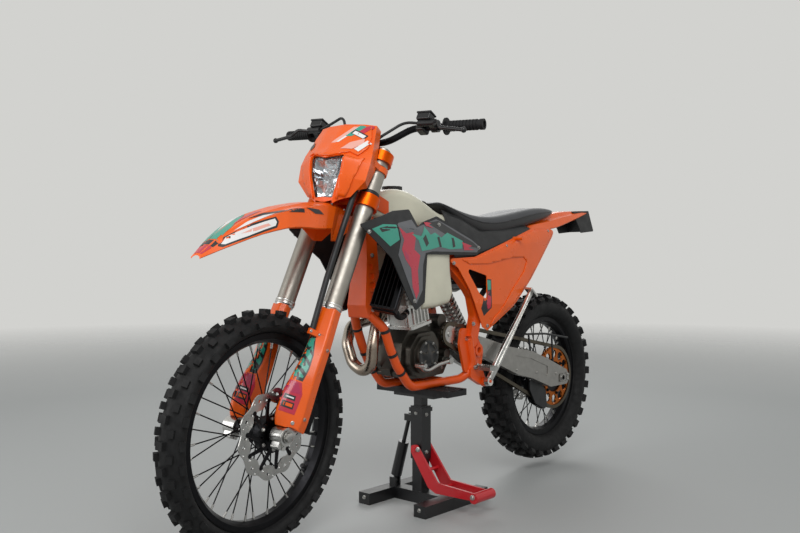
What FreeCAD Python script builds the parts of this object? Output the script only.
"""Enduro dirt bike held on a paddock lift stand.

Millimetres. +X points forwards, +Y to the rider's left, +Z up. The origin is on the
floor below the lift stand's post. The plate of the stand carries the frame tubes, and
every height written as a rise is counted from that plate's top face.
"""
import FreeCAD
import Part
import Sketcher
import math
import os

from FreeCAD import Placement, Rotation, Vector

SIZES = {
    # steering geometry
    "head_x": 332, "head_rise": 679, "head_angle": 65, "head_length": 116,
    "head_tube_radius": 31, "stem_radius": 15, "head_to_axle": 830, "fork_offset": 22,
    "axle_lead": 31, "leg_spacing": 190, "steer_angle": 6,
    # fork
    "outer_tube_radius": 29, "outer_tube_start": 395, "outer_tube_end": 930,
    "inner_tube_radius": 24, "lower_clamp_at": 751, "lower_clamp_height": 40,
    "upper_clamp_at": 906, "upper_clamp_height": 34, "clamp_wall": 9,
    "axle_radius": 13, "axle_bore": 10, "foot_width": 44,
    # wheels
    "front_tyre_radius": 347, "front_tyre_width": 92, "front_bead_radius": 266.7,
    "front_rim_width": 41, "front_knob": 12, "rear_axle_x": -750, "rear_axle_rise": -33,
    "rear_tyre_radius": 338, "rear_tyre_width": 130, "rear_bead_radius": 228.6,
    "rear_rim_width": 55, "rear_knob": 15, "floor_gap": 6, "spoke_radius": 1.9,
    "spoke_count": 36, "knob_pitches": 32,
    "front_disc_radius": 130, "rear_disc_radius": 110, "disc_thickness": 3.5,
    "front_disc_y": 58, "rear_disc_y": 76,
    # drive
    "chain_line": 78, "chain_pitch": 15.875, "rear_teeth": 48, "front_teeth": 14,
    "sprocket_thickness": 6.4, "drive_x": -60, "drive_rise": 181,
    # chassis
    "pivot_x": -130, "pivot_rise": 162, "cradle_radius": 15, "cradle_half": 62,
    "spar_width": 44, "spar_thickness": 26, "swingarm_pin": 9, "running_gap": 0.3,
    # stand
    "beam_half": 125, "beam_width": 50, "beam_height": 40, "beam_front": 155,
    "beam_rear": -190, "column": 42, "carriage": 50, "plate_length": 105,
    "plate_width": 320, "plate_thickness": 22, "damper_radius": 19,
    "lever_bar_radius": 17,
    # exhaust, bars, bodywork
    "header_radius": 19.5, "bar_radius": 11, "bar_half": 398, "grip_radius": 17,
    "panel_thickness": 3, "fender_thickness": 4, "hose_radius": 9,
}

doc = FreeCAD.newDocument("enduro_bike")
sheet = doc.addObject("Spreadsheet::Sheet", "Sizes")
for row, (alias, number) in enumerate(SIZES.items(), start=1):
    sheet.set(f"A{row}", alias)
    sheet.set(f"B{row}", str(number))
    sheet.setAlias(f"B{row}", alias)
doc.recompute()


class Measure(float):
    """A number that remembers the sheet expression it comes from."""

    def __new__(cls, value, text):
        made = super().__new__(cls, value)
        made.text = text
        return made

    def join(self, sign, other, value):
        return Measure(value, f"({self.text} {sign} {words(other)})")

    def __add__(self, other):
        return self.join("+", other, float(self) + float(other))

    def __sub__(self, other):
        return self.join("-", other, float(self) - float(other))

    def __mul__(self, other):
        return self.join("*", other, float(self) * float(other))

    def __truediv__(self, other):
        return self.join("/", other, float(self) / float(other))

    def __rmul__(self, other):
        return self * other

    def __radd__(self, other):
        return self + other

    def __rsub__(self, other):
        return Measure(float(other) - float(self), f"({words(other)} - {self.text})")

    def __neg__(self):
        return Measure(-float(self), f"(0 - {self.text})")


def words(value):
    """The expression of a measure, or a plain number as text."""
    return value.text if isinstance(value, Measure) else repr(float(value))


class Values:
    """The sheet's cells as attributes."""

    def __getattr__(self, alias):
        return Measure(float(sheet.get(alias)), f"Sizes.{alias}")


size = Values()
nodes = []

# Derived geometry: the steering axis leans back by the head angle, and the stand's
# plate is as high as the front tyre needs to clear the floor.
lean = math.radians(size.head_angle)
UP = Vector(-math.cos(lean), 0, math.sin(lean))
AHEAD = Vector(math.sin(lean), 0, math.cos(lean))
LEFT = Vector(0, 1, 0)
AXLE_AHEAD = size.fork_offset + size.axle_lead
axle_drop = UP.z * size.head_to_axle - AHEAD.z * AXLE_AHEAD - size.head_rise
PLATE = float(size.front_tyre_radius + size.floor_gap) + axle_drop
LEG = size.leg_spacing / 2


def at(x, y, rise):
    """A point whose height is counted from the stand's plate."""
    return Vector(x, y, PLATE + rise)


HEAD = at(size.head_x, 0, size.head_rise)
FOOT_OF_AXIS = HEAD - UP * float(size.head_to_axle)
REAR_AXLE = at(size.rear_axle_x, 0, size.rear_axle_rise)
PIVOT = at(size.pivot_x, 0, size.pivot_rise)
DRIVE = at(size.drive_x, size.chain_line, size.drive_rise)

turn = Rotation(UP, float(size.steer_angle))
STEERED = Placement(
    FOOT_OF_AXIS,
    Rotation(turn.multVec(AHEAD), turn.multVec(LEFT), UP, "ZXY"),
)


# Objects of the document
def publish(obj, label, place=None):
    """Register an object as a node of the part."""
    obj.Label = label
    if place is not None:
        obj.Placement = place
    nodes.append(obj)
    return obj


def solid_node(label, shape, place=None):
    """A node whose shape is worked out from the sheet's values."""
    obj = doc.addObject("Part::Feature", label)
    obj.Shape = shape
    return publish(obj, label, place)


def bind(obj, **properties):
    """Set properties, and tie each one that comes from the sheet to it."""
    for name, value in properties.items():
        setattr(obj, name, value)
        if isinstance(value, Measure):
            obj.setExpression(name, value.text)
    return obj


def primitive(kind, name, place, **properties):
    """A Part primitive, placed, with its sizes bound."""
    obj = bind(doc.addObject(kind, name), **properties)
    obj.Placement = place
    return obj


def bar(name, radius, length, base, way):
    """A bound cylinder from base along a direction."""
    place = Placement(base, Rotation(Vector(0, 0, 1), way))
    return primitive("Part::Cylinder", name, place, Radius=radius, Height=length)


def block(name, corner, length, width, height):
    """A bound box with its lowest corner at corner."""
    place = Placement(corner, Rotation())
    return primitive("Part::Box", name, place, Length=length, Width=width, Height=height)


def union(name, pieces):
    obj = doc.addObject("Part::MultiFuse", name)
    obj.Shapes = pieces
    return obj


def difference(name, base, tool):
    obj = doc.addObject("Part::Cut", name)
    obj.Base = base
    obj.Tool = tool
    return obj


def mirrored_pair(name, source):
    """The source and its mirror image across the bike's middle plane."""
    other = doc.addObject("Part::Mirroring", name + "_other")
    other.Source = source
    other.Base = Vector(0, 0, 0)
    other.Normal = LEFT
    both = doc.addObject("Part::Compound", name)
    both.Links = [source, other]
    return both


# Sketched bodies
def sketch_on(body, name, role):
    """An empty sketch on one of the body's own origin planes."""
    drawing = body.newObject("Sketcher::SketchObject", name)
    plane = next(item for item in body.Origin.OriginFeatures if item.Role == role)
    drawing.AttachmentSupport = (plane, [""])
    drawing.MapMode = "FlatFace"
    return drawing


def constrain(drawing, kind, *wanted):
    """Add a constraint whose last value may come from the sheet."""
    index = drawing.addConstraint(Sketcher.Constraint(kind, *wanted))
    if isinstance(wanted[-1], Measure):
        drawing.setExpression(f"Constraints[{index}]", wanted[-1].text)


def draw_polygon(drawing, points):
    """A closed outline with every corner placed from the origin."""
    corners = [Vector(x, y, 0) for x, y in points]
    for start, end in zip(corners, corners[1:] + corners[:1]):
        drawing.addGeometry(Part.LineSegment(start, end), False)
    for i, (x, y) in enumerate(points):
        drawing.addConstraint(Sketcher.Constraint("Coincident", i, 2, (i + 1) % len(points), 1))
        constrain(drawing, "DistanceX", -1, 1, i, 1, x)
        constrain(drawing, "DistanceY", -1, 1, i, 1, y)


def draw_circle(drawing, x, y, radius):
    index = drawing.addGeometry(Part.Circle(Vector(x, y, 0), Vector(0, 0, 1), radius), False)
    constrain(drawing, "DistanceX", -1, 1, index, 3, x)
    constrain(drawing, "DistanceY", -1, 1, index, 3, y)
    constrain(drawing, "Radius", index, radius)


def turned_body(name, points):
    """A body whose half section, x as radius, is turned round the Y axis."""
    body = doc.addObject("PartDesign::Body", name)
    drawing = sketch_on(body, name + "_section", "XY_Plane")
    draw_polygon(drawing, points)
    turned_solid = body.newObject("PartDesign::Revolution", name + "_turn")
    turned_solid.Profile = drawing
    turned_solid.ReferenceAxis = (drawing, ["V_Axis"])
    turned_solid.Angle = 360
    return body


def wheel_plate(name, radius, thickness):
    """A body that starts as a round plate across the Y axis."""
    body = doc.addObject("PartDesign::Body", name)
    drawing = sketch_on(body, name + "_outline", "XZ_Plane")
    draw_circle(drawing, 0, 0, radius)
    plate = body.newObject("PartDesign::Pad", name + "_plate")
    plate.Profile = drawing
    plate.SideType = "Symmetric"
    bind(plate, Length=thickness)
    return body


def drill(body, name, x, y, radius, depth, copies=1):
    """A round pocket through the plate, repeated round the Y axis."""
    drawing = sketch_on(body, name + "_circle", "XZ_Plane")
    draw_circle(drawing, x, y, radius)
    pocket = body.newObject("PartDesign::Pocket", name)
    pocket.Profile = drawing
    pocket.SideType = "Symmetric"
    bind(pocket, Length=depth * 2)
    if copies > 1:
        pattern = body.newObject("PartDesign::PolarPattern", name + "_ring")
        pattern.Originals = [pocket]
        pattern.Axis = (drawing, ["N_Axis"])
        pattern.Angle = 360
        bind(pattern, Occurrences=copies)
        body.Tip = pattern


# Shapes
def cylinder(radius, start, end):
    """A round bar between two points."""
    along = end - start
    return Part.makeCylinder(radius, along.Length, start, along)


def bent_path(points, radius):
    """Straight runs joined by tangent arcs."""
    edges = []
    here = points[0]
    for before, corner, after in zip(points, points[1:], points[2:]):
        arriving = (corner - before).normalize()
        leaving = (after - corner).normalize()
        turn_angle = arriving.getAngle(leaving)
        reach = min((corner - before).Length, (after - corner).Length) * 0.45
        cut = min(radius * math.tan(turn_angle / 2), reach)
        bend = cut / math.tan(turn_angle / 2)
        start = corner - arriving * cut
        end = corner + leaving * cut
        inwards = (leaving - arriving).normalize()
        centre = corner + inwards * (bend / math.cos(turn_angle / 2))
        edges.append(Part.LineSegment(here, start).toShape())
        middle = centre - inwards * bend
        edges.append(Part.Arc(start, middle, end).toShape())
        here = end
    edges.append(Part.LineSegment(here, points[-1]).toShape())
    return Part.Wire(edges)


def tube(points, radius, bend):
    """A round bar along straight runs and arcs."""
    path = bent_path(points, bend)
    ring = Part.Wire(Part.makeCircle(radius, points[0], points[1] - points[0]))
    return path.makePipeShell([ring], True, False)


def rounded_outline(points, radius):
    """A closed wire through corners that are rounded by arcs."""
    count = len(points)
    edges = []
    ends = []
    for i, corner in enumerate(points):
        before = points[i - 1]
        after = points[(i + 1) % count]
        arriving = (corner - before).normalize()
        leaving = (after - corner).normalize()
        turn_angle = arriving.getAngle(leaving)
        reach = min((corner - before).Length, (after - corner).Length) * 0.48
        cut = min(radius * math.tan(turn_angle / 2), reach)
        bend = cut / math.tan(turn_angle / 2)
        inwards = (leaving - arriving).normalize()
        middle = corner + inwards * (bend / math.cos(turn_angle / 2) - bend)
        ends.append((corner - arriving * cut, middle, corner + leaving * cut))
    for i, (start, middle, end) in enumerate(ends):
        edges.append(Part.Arc(start, middle, end).toShape())
        edges.append(Part.LineSegment(end, ends[(i + 1) % count][0]).toShape())
    return Part.Wire(edges)


def strip(points, width):
    """The outline of a strip of one width along a path of (a, b) points."""
    corners = [Vector(a, b, 0) for a, b in points]
    normals = []
    for start, end in zip(corners, corners[1:]):
        way = (end - start).normalize()
        normals.append(Vector(-way.y, way.x, 0))
    one_side = []
    other_side = []
    for i, corner in enumerate(corners):
        first = normals[max(i - 1, 0)]
        last = normals[min(i, len(normals) - 1)]
        mitre = (first + last).normalize()
        reach = width / 2 / mitre.dot(first)
        one_side.append(corner + mitre * reach)
        other_side.append(corner - mitre * reach)
    return [(p.x, p.y) for p in one_side + other_side[::-1]]


def side_plate(points, radius, y_low, y_high):
    """A plate whose outline lies in the side view, from y_low to y_high."""
    corners = [Vector(p.x, y_low, p.z) for p in points]
    face = Part.Face(rounded_outline(corners, radius))
    return face.extrude(Vector(0, y_high - y_low, 0))


def plan_plate(points, radius, z_low, z_high):
    """A plate whose outline lies in the plan view, from z_low to z_high."""
    corners = [Vector(x, y, z_low) for x, y in points]
    face = Part.Face(rounded_outline(corners, radius))
    return face.extrude(Vector(0, 0, z_high - z_low))


def end_plate(points, radius, x_low, x_high):
    """A plate whose outline lies across the bike, from x_low to x_high."""
    corners = [Vector(x_low, y, z) for y, z in points]
    face = Part.Face(rounded_outline(corners, radius))
    return face.extrude(Vector(x_high - x_low, 0, 0))


def forged(side_path, side_width, plan_path, plan_width):
    """A flattened bar: where a strip in the side view meets a strip in the plan."""
    outline = [at(x, 0, rise) for x, rise in strip(side_path, side_width)]
    side = side_plate(outline, 30, 0, 160)
    return side.common(plan_plate(strip(plan_path, plan_width), 20, 0, PLATE + 800))


def mirrored(shape):
    return shape.mirror(Vector(0, 0, 0), LEFT)


def both_sides(shape):
    """A shape on the left fused with its image on the right."""
    return shape.fuse(mirrored(shape))


def rounded_section(x, half_width, low, high, radius, y_mid=0):
    """A rounded rectangle across the bike at station x."""
    corners = [
        Vector(x, y_mid - half_width, low), Vector(x, y_mid + half_width, low),
        Vector(x, y_mid + half_width, high), Vector(x, y_mid - half_width, high),
    ]
    return rounded_outline(corners, radius)


def lofted(sections, ruled=False):
    """A loft through closed wires, with its faces turned outwards."""
    solid = Part.makeLoft(sections, True, ruled)
    return solid if solid.Volume > 0 else solid.reversed()


def turned(points):
    """A solid from a half section in the XY plane, x as radius, turned about Y."""
    wire = Part.makePolygon([Vector(r, y, 0) for r, y in points + points[:1]])
    return Part.Face(wire).revolve(Vector(0, 0, 0), LEFT, 360)


def softened(shape, radius):
    """A shape with all its edges rounded."""
    return shape.makeFillet(radius, shape.Edges)


# Tyres: a hollow carcass with rows of knobs
KNOB_ROOT = 2.0


def tyre_carcass(crown, half, bead, rim_width):
    """The hollow rubber section turned round the axle."""
    seat = rim_width / 2 - 0.5
    wall = 9
    lip = 11
    mid = bead + (crown - bead) * 0.52
    flange = bead + 14
    shoulder = Vector(crown - 16, half - 8, 0)

    def side(sign):
        return [
            Vector(bead + 0.3, sign * (seat - lip), 0), Vector(bead + 0.3, sign * seat, 0),
            Vector(flange, sign * seat, 0), Vector(flange + 3, sign * (seat + 5), 0),
        ]

    left = side(1)
    right = side(-1)
    opposite = Vector(shoulder.x, -shoulder.y, 0)
    inner_right = Vector(bead + 12, -(seat - lip), 0)
    inner_left = Vector(bead + 12, seat - lip, 0)
    inner_top = Vector(crown - wall, 0, 0)
    edges = [Part.LineSegment(a, b).toShape() for a, b in zip(left, left[1:])]
    edges.append(Part.Arc(left[-1], Vector(mid, half, 0), shoulder).toShape())
    edges.append(Part.Arc(shoulder, Vector(crown, 0, 0), opposite).toShape())
    edges.append(Part.Arc(opposite, Vector(mid, -half, 0), right[-1]).toShape())
    edges += [Part.LineSegment(a, b).toShape() for a, b in zip(right[::-1], right[-2::-1])]
    edges.append(Part.LineSegment(right[0], inner_right).toShape())
    edges.append(Part.Arc(inner_right, Vector(mid, wall - half, 0), inner_top).toShape())
    edges.append(Part.Arc(inner_top, Vector(mid, half - wall, 0), inner_left).toShape())
    edges.append(Part.LineSegment(inner_left, left[0]).toShape())
    return Part.Face(Part.Wire(edges)).revolve(Vector(0, 0, 0), LEFT, 360)


def knob(angle, slant, arc_centre, arc_radius, height, width, length):
    """A rubber block that stands on the crown arc, slant away from the middle."""
    outwards = Vector(math.cos(angle), 0, math.sin(angle))
    around = Vector(-math.sin(angle), 0, math.cos(angle))
    normal = outwards * math.cos(slant) + LEFT * math.sin(slant)
    across = LEFT * math.cos(slant) - outwards * math.sin(slant)
    root = outwards * arc_centre + normal * (arc_radius - KNOB_ROOT)
    corner = root - across * (width / 2) - around * (length / 2)
    solid = Part.makeBox(height + KNOB_ROOT, width, length)
    solid.Placement = Placement(corner, Rotation(normal, across, around, "XYZ"))
    return solid


def tyre(radius, width, bead, rim_width, height, rows):
    """A knobbly tyre. Each row is (slant, width, length, shift in pitches)."""
    crown = radius - height
    half = width / 2 - 3
    reach = half - 8
    arc_radius = (reach ** 2 + 16 ** 2) / 32
    carcass = tyre_carcass(crown, half, bead, rim_width)
    pitches = int(size.knob_pitches)
    knobs = []
    for i in range(pitches):
        for slant, knob_width, length, shift in rows:
            angle = 2 * math.pi * (i + shift) / pitches
            for side in ((1, -1) if slant else (1,)):
                knobs.append(knob(
                    angle, side * math.radians(slant), crown - arc_radius, arc_radius,
                    height, knob_width, length,
                ))
    return carcass.fuse(knobs)


# Wheels
def rim_body(label, bead, rim_width):
    """A spoked wheel's channel with two flanges and a well."""
    half = rim_width / 2
    skin = 4
    left = [
        (bead + 13, half + skin), (bead + 13, half), (bead, half),
        (bead, half - 12), (bead - 9, half - 15),
    ]
    right = [(r, -y) for r, y in left[::-1]]
    under = [
        (bead - 3, -(half + skin)), (bead - 8, -(half - 2)), (bead - 15, -9.0),
        (bead - 15, 9.0), (bead - 8, half - 2), (bead - 3, half + skin),
    ]
    return turned_body(label, left + right + under)


def spoke_bars(name, hub_radius, flange_y, hoop_radius):
    """Crossed spokes from two hub flanges to the rim's well."""
    bars = []
    for i in range(int(size.spoke_count)):
        side = 1 if i % 2 else -1
        lead = 1 if (i // 2) % 2 else -1
        outer = 2 * math.pi * (i + 0.5) / size.spoke_count
        inner = outer - lead * math.radians(52)
        end = Vector(hoop_radius * math.cos(outer), side * 5, hoop_radius * math.sin(outer))
        head_y = side * (flange_y + lead * 2.5)
        start = Vector(hub_radius * math.cos(inner), head_y, hub_radius * math.sin(inner))
        way = end - start
        bars.append(bar(f"{name}_{i}", size.spoke_radius, way.Length, start, way))
    return bars


def hub_body(name, flange_radius, flange_y, half, core, bore):
    """A spool with two spoke flanges."""
    return turned_body(name, [
        (bore, -half), (bore + 7, -half), (core, -flange_y - 5), (flange_radius, -flange_y - 5),
        (flange_radius, -flange_y + 5), (core, -flange_y + 9), (core - 3, 0.0),
        (core, flange_y - 9), (flange_radius, flange_y - 5), (flange_radius, flange_y + 5),
        (core, flange_y + 5), (bore + 7, half), (bore, half),
    ])


def carrier_body(name, inner, outer, y_from, y_to):
    """A ring that carries a disc or sprocket on the hub."""
    return turned_body(name, [(inner, y_from), (outer, y_from), (outer, y_to), (inner, y_to)])


def brake_disc(label, radius, bore, waves):
    """A wave disc: a plate with a bore, round windows and scalloped edge."""
    thickness = size.disc_thickness
    body = wheel_plate(label, radius, thickness)
    drill(body, label + "_bore", 0, 0, bore, thickness)
    drill(body, label + "_window", radius * 0.70, 0, radius * 0.10, thickness, waves)
    drill(body, label + "_slot", radius * 0.87, 0, radius * 0.035, thickness, waves * 2)
    half_step = math.pi / waves
    reach = float(radius) + 14
    drill(
        body, label + "_scallop", reach * math.cos(half_step), reach * math.sin(half_step),
        19, thickness, waves,
    )
    return body


def sprocket(label, teeth, bore, windows):
    """A chain wheel: tooth gaps are cut round the edge of a plate."""
    thickness = size.sprocket_thickness
    pitch_radius = size.chain_pitch / (2 * math.sin(math.pi / teeth))
    body = wheel_plate(label, pitch_radius + 4.2, thickness)
    drill(body, label + "_gap", pitch_radius, 0, 5.2, thickness, int(teeth))
    if windows:
        drill(body, label + "_bore", 0, 0, bore, thickness)
        middle = (pitch_radius + bore) / 2
        drill(body, label + "_window", middle, 0, (pitch_radius - bore) * 0.30, thickness, windows)
    return body


FRONT_HOOP = float(size.front_bead_radius) - 15.2
REAR_HOOP = float(size.rear_bead_radius) - 15.2
AXLE_FIT = size.axle_radius + size.running_gap
REAR_HUB_HALF = 88
SPROCKET_HALF = size.sprocket_thickness / 2

front_spin = STEERED.multiply(Placement(Vector(AXLE_AHEAD, 0, 0), Rotation()))
rear_spin = Placement(REAR_AXLE, Rotation())

solid_node("front_tyre", tyre(
    size.front_tyre_radius, size.front_tyre_width, size.front_bead_radius,
    size.front_rim_width, float(size.front_knob),
    [(0, 25, 22, 0), (31, 17, 20, 0.5), (66, 15, 24, 0.02)],
), front_spin)
publish(rim_body("front_rim", size.front_bead_radius, size.front_rim_width), "front_rim", front_spin)
front_hub_half = LEG - size.foot_width / 2 - 0.5
front_spool = hub_body("front_spool", 36.0, 28.0, front_hub_half, 24.0, AXLE_FIT)
front_carrier = carrier_body(
    "front_carrier", 23.0, 50.0, 33.0, size.front_disc_y - size.disc_thickness / 2
)
front_hub = union("front_hub", [front_spool, front_carrier] + spoke_bars("front_spoke", 31, 28, FRONT_HOOP))
publish(front_hub, "front_hub", front_spin)
front_disc = brake_disc("front_disc", size.front_disc_radius, 37.0, 10)
publish(front_disc, "front_disc", front_spin.multiply(Placement(Vector(0, size.front_disc_y, 0), Rotation())))

solid_node("rear_tyre", tyre(
    size.rear_tyre_radius, size.rear_tyre_width, size.rear_bead_radius,
    size.rear_rim_width, float(size.rear_knob),
    [(0, 34, 24, 0), (16, 24, 22, 0.5), (31, 18, 30, 0.05)],
), rear_spin)
publish(rim_body("rear_rim", size.rear_bead_radius, size.rear_rim_width), "rear_rim", rear_spin)
rear_spool = hub_body("rear_spool", 44.0, 36.0, REAR_HUB_HALF, 30.0, AXLE_FIT)
sprocket_carrier = carrier_body(
    "sprocket_carrier", 29.0, 76.0, 41.0, size.chain_line - SPROCKET_HALF
)
disc_carrier = carrier_body(
    "disc_carrier", 29.0, 58.0, -(size.rear_disc_y - size.disc_thickness / 2), -41.0
)
rear_hub = union(
    "rear_hub",
    [rear_spool, sprocket_carrier, disc_carrier] + spoke_bars("rear_spoke", 39, 36, REAR_HOOP),
)
publish(rear_hub, "rear_hub", rear_spin)
rear_disc = brake_disc("rear_disc", size.rear_disc_radius, 41.0, 9)
publish(rear_disc, "rear_disc", Placement(REAR_AXLE - LEFT * float(size.rear_disc_y), Rotation()))

publish(
    sprocket("rear_sprocket", size.rear_teeth, 62.0, 12),
    "rear_sprocket", Placement(REAR_AXLE + LEFT * float(size.chain_line), Rotation()),
)
CASE_HALF = 44
output_shaft = bar(
    "output_shaft", 10, size.chain_line - CASE_HALF + 6, Vector(0, CASE_HALF - size.chain_line, 0), LEFT
)
drive_wheel = sprocket("drive_wheel", size.front_teeth, 0, 0)
publish(union("front_sprocket", [drive_wheel, output_shaft]), "front_sprocket", Placement(DRIVE, Rotation()))


# Drive chain: side plates and rollers in one loop round both sprockets
def chain_loop():
    front_r = size.chain_pitch / (2 * math.sin(math.pi / size.front_teeth))
    rear_r = size.chain_pitch / (2 * math.sin(math.pi / size.rear_teeth))
    rear = REAR_AXLE + LEFT * float(size.chain_line)
    span = DRIVE - rear
    slope = math.atan2(span.z, span.x)
    spread = math.acos((rear_r - front_r) / span.Length)

    def loop(grow):
        def spot(centre, radius, angle):
            reach = radius + grow
            return centre + Vector(reach * math.cos(angle), 0, reach * math.sin(angle))

        top = slope + spread
        low = slope - spread
        a = spot(rear, rear_r, top)
        b = spot(DRIVE, front_r, top)
        c = spot(DRIVE, front_r, low)
        d = spot(rear, rear_r, low)
        return Part.Wire([
            Part.LineSegment(a, b).toShape(),
            Part.Arc(b, spot(DRIVE, front_r, slope), c).toShape(),
            Part.LineSegment(c, d).toShape(),
            Part.Arc(d, spot(rear, rear_r, slope + math.pi), a).toShape(),
        ])

    plate = Part.Face(loop(7)).cut(Part.Face(loop(-6)))
    bands = []
    for offset in (4.8, -7.0):
        band = plate.extrude(Vector(0, 2.2, 0))
        band.translate(Vector(0, offset, 0))
        bands.append(band)
    roller = 4.6
    half_roller = 4.9
    centre_line = loop(0)
    rollers = []
    for edge in (centre_line.Edges[0], centre_line.Edges[2]):
        steps = int(edge.Length / size.chain_pitch)
        for i in range(2, steps - 2):
            p = edge.valueAt(edge.FirstParameter + (i + 0.5) * edge.Length / steps)
            if (p - rear).Length < rear_r + 14:
                continue
            rollers.append(Part.makeCylinder(roller, 2 * half_roller, p - LEFT * half_roller, LEFT))
    for i in range(int(size.front_teeth)):
        angle = 2 * math.pi * i / size.front_teeth
        if abs(math.remainder(angle - slope, 2 * math.pi)) < math.radians(85):
            p = DRIVE + Vector(front_r * math.cos(angle), -half_roller, front_r * math.sin(angle))
            rollers.append(Part.makeCylinder(roller, 2 * half_roller, p, LEFT))
    return bands[0].fuse([bands[1]] + rollers)


solid_node("drive_chain", chain_loop())


# Fork, in the steered frame: x ahead of the steering axis, y left, z up the axis
def leg_point(rise, ahead=0.0):
    return Vector(size.fork_offset + ahead, LEG, rise)


Z_WAY = Vector(0, 0, 1)
outer_length = size.outer_tube_end - size.outer_tube_start
COLLAR = 12
outer_tube = union("outer_tube", [
    bar("outer_stock", size.outer_tube_radius, outer_length, leg_point(size.outer_tube_start), Z_WAY),
    bar("dust_collar", size.outer_tube_radius + 2, COLLAR, leg_point(size.outer_tube_start), Z_WAY),
    bar("fork_cap", size.outer_tube_radius - 7, outer_length + 7, leg_point(size.outer_tube_start), Z_WAY),
])
outer_bore = bar(
    "outer_bore", size.inner_tube_radius + size.running_gap, 60, leg_point(size.outer_tube_start), Z_WAY
)
publish(
    mirrored_pair("fork_outer_tubes", difference("outer_tube_bored", outer_tube, outer_bore)),
    "fork_outer_tubes", STEERED,
)
FOOT_TOP = 62
inner_tube = bar(
    "inner_tube", size.inner_tube_radius, size.outer_tube_start + 58 - FOOT_TOP, leg_point(FOOT_TOP), Z_WAY
)
publish(mirrored_pair("fork_inner_tubes", inner_tube), "fork_inner_tubes", STEERED)

axle_point = Vector(AXLE_AHEAD, LEG, 0)
half_foot = size.foot_width / 2
foot_cup = cylinder(size.inner_tube_radius + 5, leg_point(34), leg_point(FOOT_TOP))
foot_eye = Part.makeCylinder(
    size.axle_radius + 13, size.foot_width, axle_point - LEFT * float(half_foot), LEFT
)
foot_bore = Part.makeCylinder(
    size.axle_radius, size.foot_width + 2, axle_point - LEFT * float(half_foot + 1), LEFT
)
foot_web = side_plate(
    [Vector(size.fork_offset - 22, 0, 45), Vector(AXLE_AHEAD - 20, 0, -14),
     Vector(AXLE_AHEAD + 14, 0, -14), Vector(size.fork_offset + 26, 0, 45)],
    6, LEG - 15, LEG + 15,
)
pinch = side_plate(
    [Vector(AXLE_AHEAD - 16, 0, -10), Vector(AXLE_AHEAD + 16, 0, -10),
     Vector(AXLE_AHEAD + 16, 0, -38), Vector(AXLE_AHEAD - 16, 0, -38)],
    5, LEG - 14, LEG + 14,
)
pinch_slit = Part.makeBox(2.5, 40, 32, Vector(AXLE_AHEAD - 1.2, LEG - 20, -42))
foot = foot_cup.fuse([foot_eye, foot_web, pinch]).cut([foot_bore, pinch_slit])
solid_node("fork_feet", both_sides(foot), STEERED)
AXLE_HALF = LEG + half_foot + 3
axle_start = Vector(AXLE_AHEAD, -AXLE_HALF, 0)
front_axle = difference(
    "front_axle",
    bar("front_axle_stock", size.axle_radius, AXLE_HALF * 2, axle_start, LEFT),
    bar("front_axle_hole", size.axle_bore, AXLE_HALF * 2, axle_start, LEFT),
)
publish(front_axle, "front_axle", STEERED)

# Fork guards: blades that wrap the front of the lower legs and reach out past the hub
GUARD_TOP = 390


def fork_guard():
    """A lofted blade, hollowed for the leg and open behind it."""
    inner = size.inner_tube_radius + 1.5
    stations = (
        (GUARD_TOP, 31, 33, 29), (330, 34, 35, 29), (240, 44, 38, 30), (130, 74, 40, 31),
        (60, 80, 42, 30), (22, 62, 38, 28),
    )
    sections = []
    for rise, front, outer_half, inner_half in stations:
        x = size.fork_offset
        corners = [
            Vector(x - 24, LEG - inner_half + 6, rise), Vector(x + front * 0.55, LEG - inner_half, rise),
            Vector(x + front, LEG - 10, rise), Vector(x + front * 0.88, LEG + 6, rise),
            Vector(x + 18, LEG + outer_half, rise), Vector(x - 20, LEG + outer_half - 6, rise),
        ]
        sections.append(rounded_outline(corners, 9))
    blade = lofted(sections)
    hollow = cylinder(inner, leg_point(-40), leg_point(GUARD_TOP + 10))
    slot = Part.makeBox(60, 2 * inner, GUARD_TOP + 60)
    slot.translate(Vector(size.fork_offset - 60, LEG - inner, -40))
    pocket = Part.makeCylinder(size.axle_radius + 15, 120, axle_point - LEFT * 60, LEFT)
    skirt = Part.makeBox(140, 90, 60, Vector(size.fork_offset - 60, LEG - 45, -36))
    return blade.cut([hollow, slot, pocket, foot, skirt.cut(Part.makeBox(
        140, 90, 60, Vector(size.fork_offset - 60, LEG - 45, 24)
    ))])


guard = fork_guard()
solid_node("fork_guards", both_sides(guard), STEERED)


def clamp(rise, height, back, forward):
    """A fork clamp with two leg eyes and pinch bosses, across the steering axis."""
    eye = size.outer_tube_radius + size.clamp_wall
    low = rise - height / 2
    outline = [
        Vector(forward, -LEG, low), Vector(forward, LEG, low),
        Vector(back + 18, LEG, low), Vector(back, 34, low), Vector(back, -34, low),
        Vector(back + 18, -LEG, low),
    ]
    web = Part.Face(rounded_outline(outline, 14)).extrude(Vector(0, 0, height))
    waist = Part.makeBox(30, 2 * LEG - 96, height - 20, Vector(forward - 10, 48 - LEG, low + 10))
    eyes = []
    bores = []
    for side in (LEG, -LEG):
        base = Vector(size.fork_offset, side, low)
        eyes.append(Part.makeCylinder(eye, height, base))
        boss = Part.makeBox(26, 18, height - 4, Vector(size.fork_offset - eye - 8, side - 9, low + 2))
        eyes.append(softened(boss, 3))
        bores.append(Part.makeCylinder(size.outer_tube_radius, height + 2, base - Vector(0, 0, 1)))
        bores.append(Part.makeBox(24, 2, height + 2, Vector(size.fork_offset - eye - 10, side - 1, low - 1)))
    return web.fuse(eyes).cut(bores + [waist])


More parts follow.
